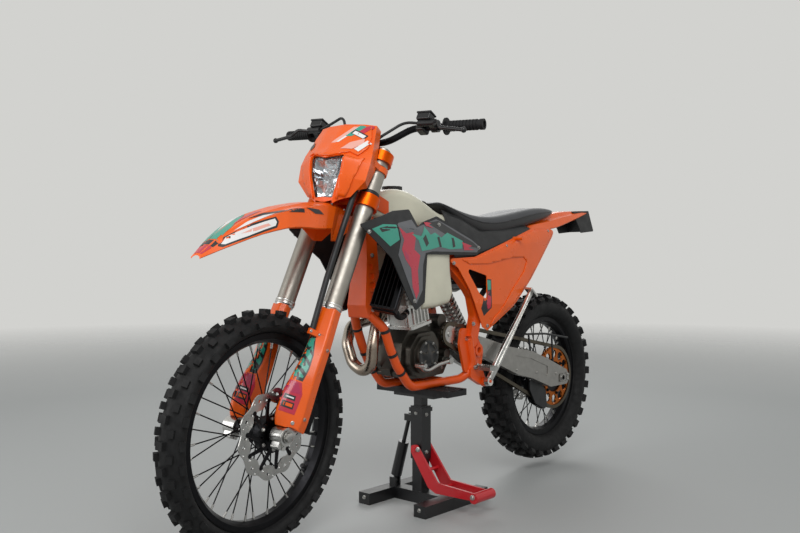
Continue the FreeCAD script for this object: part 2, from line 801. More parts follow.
half_head = float(size.head_length) / 2
stem_low = size.lower_clamp_at
stem_high = size.upper_clamp_at
stem = Part.makeCylinder(
    size.stem_radius, stem_high - stem_low - size.upper_clamp_height / 2,
    Vector(0, 0, stem_low),
)
CLAMP_BACK = -24
CLAMP_FORWARD = size.fork_offset + 24
lower_clamp = clamp(
    size.lower_clamp_at, size.lower_clamp_height, CLAMP_BACK, CLAMP_FORWARD
).fuse(stem)
solid_node("lower_clamp", lower_clamp, STEERED)
upper_clamp = clamp(size.upper_clamp_at, size.upper_clamp_height, CLAMP_BACK, CLAMP_FORWARD)

# Handlebar, its clamps, grips and levers
BAR_RISE = 972
BAR_AHEAD = 14
bar_points = [
    Vector(BAR_AHEAD, 0, BAR_RISE), Vector(BAR_AHEAD, 90, BAR_RISE), Vector(2, 165, 1028),
    Vector(-12, 240, 1038), Vector(-30, size.bar_half, 1050),
]
bar_left = tube(bar_points, size.bar_radius, 90)
solid_node("handlebar", both_sides(bar_left), STEERED)
clamp_top = size.upper_clamp_at + size.upper_clamp_height / 2
bar_seats = []
for side in (-42, 42):
    seat_height = BAR_RISE + 18 - clamp_top
    seat_block = softened(Part.makeBox(34, 26, seat_height + 4, Vector(BAR_AHEAD - 17, side - 13, clamp_top - 4)), 3)
    seat_bore = cylinder(
        size.bar_radius, Vector(BAR_AHEAD, side - 20, BAR_RISE), Vector(BAR_AHEAD, side + 20, BAR_RISE)
    )
    bar_seats.append(seat_block.cut(seat_bore))
stem_nut = Part.makeCylinder(size.stem_radius + 5, 12, Vector(0, 0, clamp_top - 2))
solid_node("upper_clamp", upper_clamp.fuse(bar_seats + [stem_nut.cut(bar_seats)]), STEERED)

grip_end = bar_points[-1]
grip_way = (bar_points[-2] - bar_points[-1]).normalize()
GRIP_LENGTH = 120


def grip():
    """A rubber sleeve with ribs and an inner flange."""
    start = grip_end - grip_way * 4
    pieces = [
        cylinder(size.grip_radius - 1.5, start, grip_end + grip_way * GRIP_LENGTH),
        cylinder(size.grip_radius + 10, grip_end + grip_way * GRIP_LENGTH,
                 grip_end + grip_way * (GRIP_LENGTH + 5)),
        cylinder(size.grip_radius, start, start + grip_way * 12),
    ]
    for i in range(9):
        ring = grip_end + grip_way * (18 + 11 * i)
        pieces.append(cylinder(size.grip_radius, ring, ring + grip_way * 6))
    hole = cylinder(
        size.bar_radius, grip_end - grip_way * 10, grip_end + grip_way * (GRIP_LENGTH + 20)
    )
    return pieces[0].fuse(pieces[1:]).cut(hole)


solid_node("grips", both_sides(grip()), STEERED)


def lever_set():
    """A left perch with its cylinder, reservoir, lever blade and switch pod."""
    perch_at = grip_end + grip_way * (GRIP_LENGTH + 40)
    pod_at = grip_end + grip_way * (GRIP_LENGTH + 82)
    ahead = Vector(34, 6, -6)
    body = cylinder(11, perch_at + ahead + grip_way * 44, perch_at + ahead - grip_way * 16)
    arm = softened(Part.makeBox(40, 24, 18, perch_at + Vector(2, -12, -12)), 4)
    tank = softened(Part.makeBox(32, 50, 24, perch_at + Vector(22, -44, -2)), 5)
    lid = softened(Part.makeBox(36, 54, 6, perch_at + Vector(20, -46, 20)), 2)
    pod = softened(Part.makeBox(38, 34, 40, pod_at + Vector(-17, -17, -20)), 7)
    tip = Vector(38, 384, perch_at.z - 50)
    blade = tube([
        perch_at + Vector(34, 16, -10), perch_at + Vector(58, 50, -18),
        Vector(48, 300, perch_at.z - 42), tip,
    ], 6, 60)
    pieces = [arm, tank, lid, pod, blade, Part.makeSphere(9, tip),
              cylinder(size.bar_radius + 6, perch_at - grip_way * 11, perch_at + grip_way * 11)]
    return body.fuse(pieces).cut(bar_left)


left_levers = lever_set()
left_levers = max(left_levers.Solids, key=lambda piece: piece.Volume)
solid_node("hand_levers", Part.makeCompound([left_levers, mirrored(left_levers)]), STEERED)


# Headlight mask: creased facets between outlines across the steering axis
def facet_outline(rise, back, side, front, ridge):
    """A polygon through mirrored (x, y) corners, from the open back to the ridge."""
    left = [Vector(x, y, rise) for x, y in (back, side, front)]
    right = [Vector(p.x, -p.y, rise) for p in left]
    return Part.makePolygon(left + [Vector(ridge, 0, rise)] + right[::-1] + left[:1])


mask_body = lofted([
    facet_outline(708, (66, 52), (84, 60), (104, 34), 110),
    facet_outline(782, (60, 112), (104, 136), (140, 50), 148),
    facet_outline(836, (60, 122), (112, 141), (158, 56), 166),
    facet_outline(872, (62, 118), (112, 136), (142, 60), 152),
    facet_outline(976, (72, 104), (104, 110), (116, 70), 124),
], True)
mask_hollow = lofted([
    facet_outline(690, (50, 40), (80, 50), (98, 28), 102),
    facet_outline(782, (50, 107), (101, 131), (134, 46), 142),
    facet_outline(836, (50, 117), (108, 136), (152, 52), 160),
    facet_outline(872, (50, 113), (108, 131), (136, 56), 146),
    facet_outline(970, (50, 99), (100, 105), (111, 66), 118),
], True)


def lens_outline(grow):
    """The lamp's window seen from ahead, a notched brow over a narrow foot."""
    corners = [(-64, 850), (0, 832), (64, 850), (58, 790), (34, 722), (-34, 722), (-58, 790)]
    middle = 790
    return [Vector(40, y * (1 + grow), middle + (z - middle) * (1 + grow)) for y, z in corners]


lamp_prism = Part.Face(rounded_outline(lens_outline(0), 6)).extrude(Vector(160, 0, 0))
lamp_window = Part.Face(rounded_outline(lens_outline(0.008), 6)).extrude(Vector(160, 0, 0))
STRAP_AT = 862
strap = Part.makeCylinder(size.outer_tube_radius + 5, 18, leg_point(STRAP_AT - 9)).fuse(
    Part.makeBox(28, 43, 18, Vector(48, LEG - 15, STRAP_AT - 9))
).cut(Part.makeCylinder(size.outer_tube_radius + size.running_gap, 20, leg_point(STRAP_AT - 10)))
mask_shell = mask_body.cut([mask_hollow, lamp_window])
mask_shell = max(mask_shell.Solids, key=lambda piece: piece.Volume)
solid_node("headlight_mask", mask_shell.fuse([strap, mirrored(strap)]), STEERED)
lamp_front = lofted([
    facet_outline(708, (70, 50), (82, 56), (98, 32), 104),
    facet_outline(782, (70, 110), (101, 132), (134, 48), 142),
    facet_outline(836, (70, 120), (109, 137), (151, 54), 159),
    facet_outline(872, (70, 116), (109, 132), (136, 58), 146),
], True)
solid_node("headlamp", lamp_front.common(lamp_prism), STEERED)
dash = block("dash_stock", Vector(BAR_AHEAD + 17, -42, 978), 60, 84, 16)
display = doc.addObject("Part::Fillet", "display")
display.Base = dash
display.Edges = [(edge, 4.0, 4.0) for edge in range(1, 13)]
publish(display, "display", STEERED)


# Front fender: a creased blade from under the lower clamp to the tip
def fender_outline(x, top, half, edge):
    """A bent strip across the fender: flat top, a step, then a flank down to the edge."""
    thickness = size.fender_thickness
    step = min(7.0, (top - edge) * 0.2)
    upper = [(0.0, top), (0.34, top), (0.46, top - step), (0.78, top - step * 1.6), (1.0, edge)]
    left = [Vector(x, share * half, z) for share, z in upper[1:]]
    right = [Vector(p.x, -p.y, p.z) for p in left[::-1]]
    outer = right + [Vector(x, 0, top)] + left
    inner = [
        Vector(p.x, p.y * (1 - thickness / half), p.z - thickness * 0.95) for p in outer[::-1]
    ]
    return Part.makePolygon(outer + inner + outer[:1])


clamp_foot = float(size.lower_clamp_at - size.lower_clamp_height / 2) - 0.5
fender_stations = [
    (-18, clamp_foot, 34, clamp_foot - 44), (24, clamp_foot, 36, clamp_foot - 112),
    (56, clamp_foot - 6, 40, clamp_foot - 126), (96, clamp_foot - 22, 62, 626),
    (134, 692, 72, 606), (170, 674, 78, 588), (210, 650, 81, 571), (250, 622, 82, 552),
    (286, 596, 82, 531), (320, 568, 80, 506), (354, 538, 75, 479), (385, 506, 68, 450),
    (414, 468, 58, 420), (440, 430, 46, 392), (462, 390, 33, 366), (481, 353, 20, 343),
]
front_fender = lofted([fender_outline(*station) for station in fender_stations], True)
solid_node("front_fender", front_fender.cut([lower_clamp, lamp_front, mask_body]), STEERED)

# Front brake caliper behind the left foot, with a bracket to the fork
caliper_mid = Vector(AXLE_AHEAD - 92, size.front_disc_y, 84)
caliper_side = [
    caliper_mid + Vector(-26, 0, -50), caliper_mid + Vector(26, 0, -46),
    caliper_mid + Vector(30, 0, 40), caliper_mid + Vector(4, 0, 52), caliper_mid + Vector(-26, 0, 40),
]
caliper_block = side_plate(caliper_side, 10, size.front_disc_y - 24, size.front_disc_y + 28)
pistons = [
    Part.makeCylinder(16, 58, caliper_mid + Vector(-4, -28, height), LEFT) for height in (-24, 16)
]
caliper_slot = Part.makeCylinder(
    size.front_disc_radius + 5, size.disc_thickness + 10,
    Vector(AXLE_AHEAD, size.front_disc_y - size.disc_thickness / 2 - 5, 0), LEFT,
)
cup_back = size.fork_offset - size.inner_tube_radius - 5.3
bracket = side_plate(
    [Vector(-50, 0, 60), Vector(cup_back, 0, 36), Vector(cup_back, 0, 100), Vector(-30, 0, 118)],
    6, size.front_disc_y + 8, LEG - 3,
)
solid_node("front_caliper", caliper_block.fuse(pistons + [bracket]).cut([caliper_slot, guard]), STEERED)

# Brake hose in its sheath, in front of the left leg, and the two bar cables
HOSE_AHEAD = 74
hose_points = [
    Vector(HOSE_AHEAD - 24, 58, 884), Vector(HOSE_AHEAD - 8, 76, 840), Vector(HOSE_AHEAD - 2, 80, 780),
    Vector(HOSE_AHEAD + 2, 84, 640), Vector(HOSE_AHEAD, 86, 470), Vector(HOSE_AHEAD - 10, 88, 300),
]
hose_tube = tube(hose_points, size.hose_radius, 400)
solid_node("brake_hose", hose_tube.cut([guard, mask_shell, lower_clamp, front_fender]), STEERED)
perch = grip_end + grip_way * (GRIP_LENGTH + 80) + Vector(34, 6, -6)
left_cable = tube([
    perch, perch + grip_way * 50 + Vector(8, 0, 2), Vector(58, 100, 968),
    Vector(57, 60, 930), Vector(57, 30, 884),
], 4.5, 60)
right_cable = tube([
    Vector(perch.x, -perch.y, perch.z), Vector(perch.x + 8, -perch.y + 50, perch.z + 14),
    Vector(66, -80, 1048),
    Vector(59, -56, 996), Vector(57, -50, 940), Vector(57, -30, 884),
], 4.5, 60)
cable_room = [left_levers, mirrored(left_levers), mask_shell, Part.makeBox(60, 84, 16, Vector(BAR_AHEAD + 17, -42, 978))]
solid_node(
    "control_cables",
    Part.makeCompound([
        max(cable.cut(cable_room).Solids, key=lambda piece: piece.Volume)
        for cable in (left_cable, right_cable)
    ]),
    STEERED,
)

# Frame
head_low = HEAD - UP * half_head
head_high = HEAD + UP * half_head
head_tube = cylinder(size.head_tube_radius, head_low, head_high)
head_bore = cylinder(size.stem_radius + size.running_gap, head_low - UP * 2, head_high + UP * 2)
half = float(size.cradle_half)
cradle_rise = float(size.cradle_radius)
cradle = [
    at(296, 34, 262), at(256, half, 215), at(229, half, 150), at(196, half, 90),
    at(130, half, cradle_rise), at(-60, half, cradle_rise), at(-130, half + 20, 20),
    at(-166, 104, 62), PIVOT + Vector(-8, 103, 10),
]
SPAR_SIDE = [
    (-148, 132), (-178, 240), (-156, 318), (-100, 382), (-30, 446), (70, 520), (240, 606), (318, 646),
]
SPAR_PLAN = [(-240, 103), (-116, 103), (-80, 95), (-30, 85), (70, 66), (240, 44), (330, 22)]
def beside_axis(ahead, along):
    """A point of the middle plane, ahead of the steering axis and along it from the head."""
    return HEAD + AHEAD * ahead + UP * along


DOWN_LOW = 258
down_side = side_plate(
    [beside_axis(-20, 22), beside_axis(-58, -20), at(262, 0, 540), at(252, 0, 420), at(256, 0, 300),
     at(262, 0, DOWN_LOW), at(312, 0, DOWN_LOW - 8), at(322, 0, 292), at(306, 0, 436),
     at(308, 0, 520), beside_axis(-66, -100), beside_axis(-60, -62), beside_axis(-30, -52),
     beside_axis(6, -50), beside_axis(6, 22)],
    6, -60, 60,
)
down_width = [(24, 712), (26, 620), (32, 430), (40, 300), (46, DOWN_LOW - 20)]
down_ends = [(y, PLATE + rise) for y, rise in down_width]
down_front = end_plate(down_ends + [(-y, z) for y, z in down_ends[::-1]], 6, 180, 400)
down_tube = down_side.common(down_front)
ladder = []
for i, rise in enumerate((326, 356, 386, 416)):
    depth_y = 34 - (rise - 300) / 15
    ladder.append(side_plate(
        [at(270 + 3 * i, 0, rise - 10), at(300, 0, rise - 12), at(298, 0, rise + 10), at(270 + 3 * i, 0, rise + 8)],
        3, depth_y, 60,
    ))
pivot_plate = side_plate(
    [PIVOT + Vector(-46, 0, 30), PIVOT + Vector(30, 0, 40), PIVOT + Vector(40, 0, -20),
     PIVOT + Vector(10, 0, -120), PIVOT + Vector(-84, 0, -120), PIVOT + Vector(-100, 0, -50)],
    18, 92, 102,
)
ring_centre = at(-192, 92, 118)
pivot_ring = Part.makeCylinder(22, 20, ring_centre, LEFT)
ring_hole = Part.makeCylinder(11, 60, ring_centre - LEFT * 10, LEFT)
stand_axis = Vector(0, -math.cos(math.radians(8)), -math.sin(math.radians(8)))
stand_pivot = at(-217, 134, 5)
stand_lug = side_plate(
    [at(-234, 0, 8), at(-214, 0, -12), at(-140, 0, 24), at(-140, 0, 60), at(-205, 0, 60)], 10, 92, 112
).fuse([
    cylinder(16, stand_pivot + stand_axis * 9.3, stand_pivot + stand_axis * 26),
    cylinder(5.5, stand_pivot + stand_axis * 12, stand_pivot - stand_axis * 11),
])
CROSS_Y = 92
shock_cross = cylinder(13, at(-62, -CROSS_Y, 430), at(-62, CROSS_Y, 430))
cross_tube = cylinder(14, at(-60, -half, cradle_rise), at(-60, half, cradle_rise))
gusset = side_plate(
    [beside_axis(-24, 10), beside_axis(-130, -20), beside_axis(-120, -60), beside_axis(-30, -50)],
    10, 12, 26,
)
left_spar = forged(SPAR_SIDE, size.spar_width, SPAR_PLAN, size.spar_thickness)
left_cradle = tube(cradle, size.cradle_radius, 60)
frame_pieces = [
    down_tube, left_cradle, mirrored(left_cradle), left_spar, mirrored(left_spar),
    pivot_plate, mirrored(pivot_plate), pivot_ring, mirrored(pivot_ring),
    gusset, mirrored(gusset), cross_tube, shock_cross, stand_lug,
]
pin_span = 130
frame_solid = head_tube.fuse(frame_pieces).cut(
    [head_bore, ring_hole, mirrored(ring_hole)] + ladder + [mirrored(slot) for slot in ladder]
    + [cylinder(size.swingarm_pin, PIVOT - LEFT * pin_span, PIVOT + LEFT * pin_span)]
)
solid_node("frame", frame_solid)
upper_rail = tube([at(-52, 80, 438), at(-300, 66, 505), at(-630, 66, 558)], 12, 200)
lower_rail = tube([at(-168, 97, 262), at(-400, 66, 430), at(-560, 66, 540)], 10, 200)
rear_cross = cylinder(9, at(-620, -66, 566), at(-620, 66, 566))
front_cross = cylinder(9, at(-200, -66, 473), at(-200, 66, 473))
subframe = upper_rail.fuse([
    lower_rail, mirrored(upper_rail), mirrored(lower_rail), rear_cross, front_cross,
]).cut(frame_solid)
solid_node("subframe", subframe)
AXLE_END = 126
pin = cylinder(size.swingarm_pin, PIVOT - LEFT * 104, PIVOT + LEFT * 104)
rear_axle = cylinder(size.axle_radius, REAR_AXLE - LEFT * AXLE_END, REAR_AXLE + LEFT * AXLE_END)
rear_hole = cylinder(size.axle_bore, REAR_AXLE - LEFT * AXLE_END, REAR_AXLE + LEFT * AXLE_END)
solid_node("chassis_axles", Part.makeCompound([pin, rear_axle.cut(rear_hole)]))

# Swingarm: each beam is where its side outline and its plan outline meet
arm_side = [
    at(-112, 0, 180), at(-152, 0, 184), at(-250, 0, 158), at(-362, 0, 120), at(-533, 0, 88),
    at(-650, 0, 48), at(-786, 0, -4), at(-806, 0, -36), at(-788, 0, -62), at(-664, 0, -62),
    at(-532, 0, -16), at(-430, 0, 8), at(-330, 0, 48), at(-240, 0, 92), at(-150, 0, 130),
    at(-112, 0, 144),
]
arm_plan = [
    (-108, 62), (-235, 62), (-330, 90), (-420, 92), (-812, 94), (-812, 120), (-420, 121),
    (-330, 116), (-235, 87), (-108, 87),
]
beam = side_plate(arm_side, 12, 40, 140).common(plan_plate(arm_plan, 8, PLATE - 120, PLATE + 240))
axle_slot = side_plate(
    [REAR_AXLE + Vector(-34, 0, -17), REAR_AXLE + Vector(30, 0, -17),
     REAR_AXLE + Vector(30, 0, 17), REAR_AXLE + Vector(-34, 0, 17)],
    6, 117, 140,
)
channel = side_plate(
    [at(-400, 0, 84), at(-520, 0, 62), at(-640, 0, 22), at(-640, 0, -22), at(-520, 0, 20), at(-400, 0, 50)],
    12, 118, 140,
)
axle_block = side_plate(
    [REAR_AXLE + Vector(-24, 0, -15), REAR_AXLE + Vector(20, 0, -15),
     REAR_AXLE + Vector(20, 0, 15), REAR_AXLE + Vector(-24, 0, 15)],
    4, 116, 123,
)
beam = beam.cut([axle_slot, channel]).fuse(axle_block)
boss = cylinder(22, PIVOT + LEFT * 60, PIVOT + LEFT * 88)
BRIDGE_HALF = 84
arm_way = REAR_AXLE - PIVOT
bridge_mid = PIVOT + arm_way * 0.24
bridge_ends = []
for y in (-BRIDGE_HALF, BRIDGE_HALF):
    bridge_ends.append(rounded_outline([
        bridge_mid + Vector(-26, y, -20), bridge_mid + Vector(26, y, -14),
        bridge_mid + Vector(26, y, 26), bridge_mid + Vector(-26, y, 16),
    ], 8))
arm_bores = [
    cylinder(size.swingarm_pin, PIVOT - LEFT * pin_span, PIVOT + LEFT * pin_span),
    cylinder(size.axle_radius, REAR_AXLE - LEFT * 140, REAR_AXLE + LEFT * 140),
]
swingarm = beam.fuse([boss, mirrored(beam), mirrored(boss), lofted(bridge_ends)]).cut(arm_bores)
solid_node("swingarm", swingarm)

# Chain guide under the left beam, the thin guard bar above it and the rear caliper
guide_side = [
    at(-548, 0, -20), at(-552, 0, -64), at(-590, 0, -120), at(-660, 0, -153), at(-676, 0, -141),
    at(-668, 0, -80), at(-640, 0, -52),
]
guide_walls = side_plate(guide_side, 12, 64, 94)
guide_room = Part.makeBox(240, 18.6, 320, at(-740, size.chain_line - 9.3, -190))
chain_guide = guide_walls.cut([guide_room, swingarm])
chain_guide = chain_guide.fuse(side_plate(
    [at(-604, 0, -128), at(-660, 0, -153), at(-676, 0, -141), at(-640, 0, -134)], 3, 66, 92
))
GUARD_Y = 107
guard_bar = tube([at(-500, GUARD_Y, 156), at(-640, GUARD_Y, 150), at(-812, GUARD_Y, 124)], 4, 300)
guard_struts = [
    cylinder(4, at(-536, GUARD_Y, 78), at(-520, GUARD_Y, 156)),
    cylinder(4, at(-700, GUARD_Y, 20), at(-690, GUARD_Y, 144)),
]
solid_node("chain_guides", Part.makeCompound([
    chain_guide, guard_bar.fuse(guard_struts).cut(swingarm),
]))
disc_plane = -float(size.rear_disc_y)
rear_caliper_mid = REAR_AXLE + Vector(74, 0, 74)
rear_caliper = side_plate(
    [rear_caliper_mid + Vector(-44, 0, 6), rear_caliper_mid + Vector(-14, 0, -34),
     rear_caliper_mid + Vector(34, 0, -14), rear_caliper_mid + Vector(18, 0, 30)],
    9, disc_plane - 19, disc_plane + 20,
)
caliper_gap = Part.makeCylinder(
    size.rear_disc_radius + 4, size.disc_thickness + 8,
    REAR_AXLE + LEFT * (disc_plane - float(size.disc_thickness) / 2 - 4), LEFT,
)
solid_node("rear_caliper", rear_caliper.cut([caliper_gap, swingarm]))

# Engine: case halves with covers, a leaning barrel and its head
in_barrel = Placement(at(62, 0, 214), Rotation(LEFT, 12))
deck_front = in_barrel.multVec(Vector(56, 0, -0.3))
deck_rear = in_barrel.multVec(Vector(-70, 0, -0.3))
COVER_LEFT = 82
COVER_RIGHT = -87
case = side_plate(
    [at(160, 0, 80), at(150, 0, 160), deck_front, deck_rear, at(-104, 0, 214),
     at(-104, 0, 90), at(-70, 0, 40), at(40, 0, 34), at(120, 0, 40)],
    12, -CASE_HALF, CASE_HALF,
)
left_cover = side_plate(
    [at(142, 0, 84), at(140, 0, 146), at(100, 0, 190), at(20, 0, 196), at(-10, 0, 160),
     at(-4, 0, 70), at(50, 0, 44), at(110, 0, 50)],
    26, CASE_HALF, COVER_LEFT - 10,
)
left_cover = left_cover.fuse(side_plate(
    [at(130, 0, 90), at(128, 0, 144), at(94, 0, 180), at(30, 0, 184), at(4, 0, 154),
     at(8, 0, 80), at(56, 0, 56), at(104, 0, 60)],
    24, CASE_HALF, COVER_LEFT,
))
right_cover = side_plate(
    [at(150, 0, 84), at(146, 0, 150), at(100, 0, 196), at(-40, 0, 206), at(-92, 0, 190),
     at(-92, 0, 100), at(-40, 0, 50), at(110, 0, 46)],
    26, COVER_RIGHT, -CASE_HALF,
)
crank = at(70, 0, 118)
CAP_RADIUS = 52
generator_cap = Part.makeCylinder(CAP_RADIUS, 14, crank + LEFT * (COVER_LEFT - 2), LEFT)
cap_recess = Part.makeCylinder(CAP_RADIUS - 12, 6, crank + LEFT * (COVER_LEFT + 8), LEFT)
cap_hub = Part.makeCylinder(15, 6, crank + LEFT * (COVER_LEFT + 7), LEFT)
cap_ribs = []
for i in range(5):
    angle = 2 * math.pi * (i + 0.25) / 5
    reach = Vector(math.cos(angle), 0, math.sin(angle)) * (CAP_RADIUS - 6)
    cap_ribs.append(cylinder(
        5, crank + LEFT * (COVER_LEFT + 7.5), crank + LEFT * (COVER_LEFT + 7.5) + reach
    ))
generator_cap = generator_cap.cut(cap_recess).fuse([cap_hub] + cap_ribs)
clutch_cap = Part.makeCylinder(66, 20, at(-10, COVER_RIGHT + 3, 126), -LEFT)
clutch_ring = Part.makeCylinder(48, 5, at(-10, COVER_RIGHT - 19, 126), -LEFT)
shifter_boss = Part.makeCylinder(14, 40, at(-34, CASE_HALF - 4, 92), LEFT)
filter_cap = Part.makeCylinder(17, 28, at(-62, CASE_HALF - 4, 112), LEFT)
starter = cylinder(24, at(-36, -30, 228), at(-36, 66, 228))
drain_ribs = [
    side_plate([at(-50, 0, 60), at(-44, 0, 34), at(104, 0, 34), at(112, 0, 60)], 4, y, y + 6)
    for y in (-34, -14, 8, 28)
]
engine_bolt = cylinder(10, at(166, -half, 62), at(166, half, 62))
front_mount = side_plate(
    [at(176, 0, 50), at(186, 0, 74), at(150, 0, 110), at(136, 0, 60)], 6, -20, 20
)
case_solid = case.fuse(
    [left_cover, right_cover, generator_cap, clutch_cap, clutch_ring, shifter_boss, filter_cap,
     starter, engine_bolt, front_mount] + drain_ribs
)
tube_room = tube(cradle, size.cradle_radius + 0.2, 60)
case_cuts = [tube_room, mirrored(tube_room)]
crankcase = case_solid.cut(case_cuts)
crankcase = max(crankcase.Solids, key=lambda piece: piece.Volume)
solid_node("crankcase", crankcase)


def barrel_block(low, high, half_x, half_y, radius):
    corners = [Vector(-half_x, -half_y, low), Vector(half_x, -half_y, low),
               Vector(half_x, half_y, low), Vector(-half_x, half_y, low)]
    return Part.Face(rounded_outline(corners, radius)).extrude(Vector(0, 0, high - low))


BARREL_TOP = 86
ribs = []
for x in (-36, -18, 0, 18, 36):
    ribs.append(Part.makeBox(6, 122, 56, Vector(x - 3, -61, 14)))
barrel = barrel_block(0, BARREL_TOP, 52, 54, 22).fuse(
    [barrel_block(0, 10, 56, 62, 12), barrel_block(BARREL_TOP - 10, BARREL_TOP, 58, 64, 12)] + ribs
)
solid_node("cylinder", barrel, in_barrel)
HEAD_MID = 150
HEAD_TOP = 196
head_fins = [barrel_block(z, z + 4, 62, 68, 14) for z in (100, 114, 128)]
plug_tube = Part.makeCylinder(13, 16, Vector(14, 56, 118), LEFT)
cover_bolts = [
    Part.makeCylinder(7, 10, Vector(x, y, HEAD_TOP - 4)) for x in (-44, 44) for y in (-56, 56)
]
head_core = barrel_block(BARREL_TOP, HEAD_MID, 62, 62, 16)
head_cover = barrel_block(HEAD_MID, HEAD_TOP, 55, 68, 18)
cam_tunnel = barrel_block(BARREL_TOP, HEAD_TOP - 6, 24, 72, 8)
solid_node(
    "cylinder_head", head_core.fuse([head_cover, plug_tube, cam_tunnel] + head_fins + cover_bolts), in_barrel
)

PORT = 118
throttle = tube([
    in_barrel.multVec(Vector(-62.2, 0, PORT)), in_barrel.multVec(Vector(-96, 0, PORT)),
    at(-58, 20, 366), at(-96, 44, 384), at(-196, 44, 412),
], 24, 60)
throttle_rings = [
    cylinder(28, in_barrel.multVec(Vector(x, 0, PORT)), in_barrel.multVec(Vector(x - 7, 0, PORT)))
    for x in (-66, -86)
]
airbox = lofted([
    rounded_section(-196, 70, PLATE + 352, PLATE + 462, 16),
    rounded_section(-260, 84, PLATE + 336, PLATE + 478, 20),
    rounded_section(-420, 84, PLATE + 392, PLATE + 520, 20),
])
solid_node("throttle_body", throttle.fuse(throttle_rings).cut(airbox))

# Exhaust: the pipe leaves the port, turns down in a loop and runs back on the right
header_path = [
    in_barrel.multVec(Vector(62.2, 0, PORT)), in_barrel.multVec(Vector(98, 0, PORT)), at(240, 14, 232),
    at(268, 22, 160), at(270, 18, 96), at(268, -22, 72), at(268, -70, 96), at(268, -96, 160),
    at(228, -118, 216), at(120, -134, 230), at(-60, -139, 246), at(-220, -141, 300),
    at(-330, -141, 350),
]
header = tube(header_path, size.header_radius, 52)
flange_start = header_path[0]
flange_way = (header_path[1] - header_path[0]).normalize()
port_flange = cylinder(size.header_radius + 9, flange_start, flange_start + flange_way * 9)
joint_way = (header_path[-1] - header_path[-2]).normalize()
joint_start = header_path[-2] + joint_way * 40
joint_ring = cylinder(size.header_radius + 3, joint_start, joint_start + joint_way * 16)
solid_node("exhaust_header", header.fuse([port_flange, joint_ring]))
CAN_Y = -146
silencer = lofted([
    rounded_section(-320, 26, PLATE + 318, PLATE + 376, 22, CAN_Y + 4),
    rounded_section(-370, 42, PLATE + 316, PLATE + 416, 34, CAN_Y),
    rounded_section(-640, 42, PLATE + 400, PLATE + 500, 34, CAN_Y),
    rounded_section(-690, 26, PLATE + 432, PLATE + 492, 24, CAN_Y),
], True)
can_way = Vector(-270, 0, 84).normalize()
bands = []
for start in (at(-392, CAN_Y, 374), at(-596, CAN_Y, 437)):
    band = lofted([
        rounded_section(start.x, 44, start.z - 52, start.z + 52, 36, CAN_Y),
        rounded_section(start.x - 14, 44, start.z - 52 + 4.4, start.z + 52 + 4.4, 36, CAN_Y),
    ], True)
    bands.append(band)
outlet = cylinder(15, at(-686, CAN_Y, 462), at(-706, CAN_Y, 468))
outlet_hole = cylinder(12, at(-690, CAN_Y, 463.2), at(-712, CAN_Y, 469.8))
silencer_bracket = cylinder(7, at(-500, -120, 430), at(-500, -66, 497))
solid_node("silencer", silencer.fuse(bands + [outlet, silencer_bracket]).cut([header, subframe, outlet_hole]))

# Shock absorber
shock_low = at(-292, -22, 134)
shock_high = at(-70, -22, 426)
shock_way = (shock_high - shock_low).normalize()
spring_discs = [
    cylinder(31, shock_low + shock_way * start, shock_low + shock_way * (start + 8))
    for start in range(60, 236, 18)
]
shock = cylinder(14, shock_low, shock_high).fuse([
    cylinder(25, shock_low + shock_way * 60, shock_high - shock_way * 90),
    cylinder(26, shock_high - shock_way * 92, shock_high - shock_way * 10),
] + spring_discs)
solid_node("shock_absorber", shock.cut([frame_solid, swingarm, crankcase]))
solid_node("airbox", airbox.cut([frame_solid, subframe, shock]))

# Tank, with a lobe low on each side, seat and tail
tank = lofted([
    rounded_section(282, 38, PLATE + 580, PLATE + 640, 18),
    rounded_section(232, 58, PLATE + 562, PLATE + 664, 24),
    rounded_section(150, 74, PLATE + 544, PLATE + 668, 30),
    rounded_section(60, 82, PLATE + 536, PLATE + 634, 30),
    rounded_section(-60, 74, PLATE + 520, PLATE + 598, 26),
])
lobe_side = [
    at(150, 0, 534), at(10, 0, 522), at(12, 0, 448), at(-23, 0, 312), at(64, 0, 276), at(137, 0, 280),
    at(151, 0, 448),
]
lobe_plan = [(170, 78), (-40, 78), (-40, 114), (10, 122), (90, 128), (170, 124)]
lobe = side_plate(lobe_side, 10, 60, 140).common(plan_plate(lobe_plan, 12, PLATE + 260, PLATE + 570))
CAP_AT = at(150, 0, 660)
cap = doc.addObject("PartDesign::Body", "fuel_cap")
cap_outline = sketch_on(cap, "fuel_cap_outline", "XY_Plane")
draw_circle(cap_outline, 0, 0, 34)
cap_pad = cap.newObject("PartDesign::Pad", "fuel_cap_pad")
cap_pad.Profile = cap_outline
cap_pad.Length = 24
cap_grip = sketch_on(cap, "fuel_cap_grip", "XY_Plane")
draw_circle(cap_grip, 37, 0, 6)
cap_pocket = cap.newObject("PartDesign::Pocket", "fuel_cap_pocket")
cap_pocket.Profile = cap_grip
cap_pocket.SideType = "Symmetric"
cap_pocket.Length = 60
cap_ring = cap.newObject("PartDesign::PolarPattern", "fuel_cap_ring")
cap_ring.Originals = [cap_pocket]
cap_ring.Axis = (cap_grip, ["N_Axis"])
cap_ring.Angle = 360
cap_ring.Occurrences = 10
cap.Tip = cap_ring
cap_seat = Part.makeCylinder(34, 24, CAP_AT, Vector(0, 0, 1))
whole_tank = tank.fuse([lobe, mirrored(lobe)]).cut([frame_solid, cap_seat])
whole_tank = max(whole_tank.Solids, key=lambda piece: piece.Volume)
solid_node("fuel_tank", whole_tank)
publish(cap, "fuel_cap", Placement(CAP_AT, Rotation()))
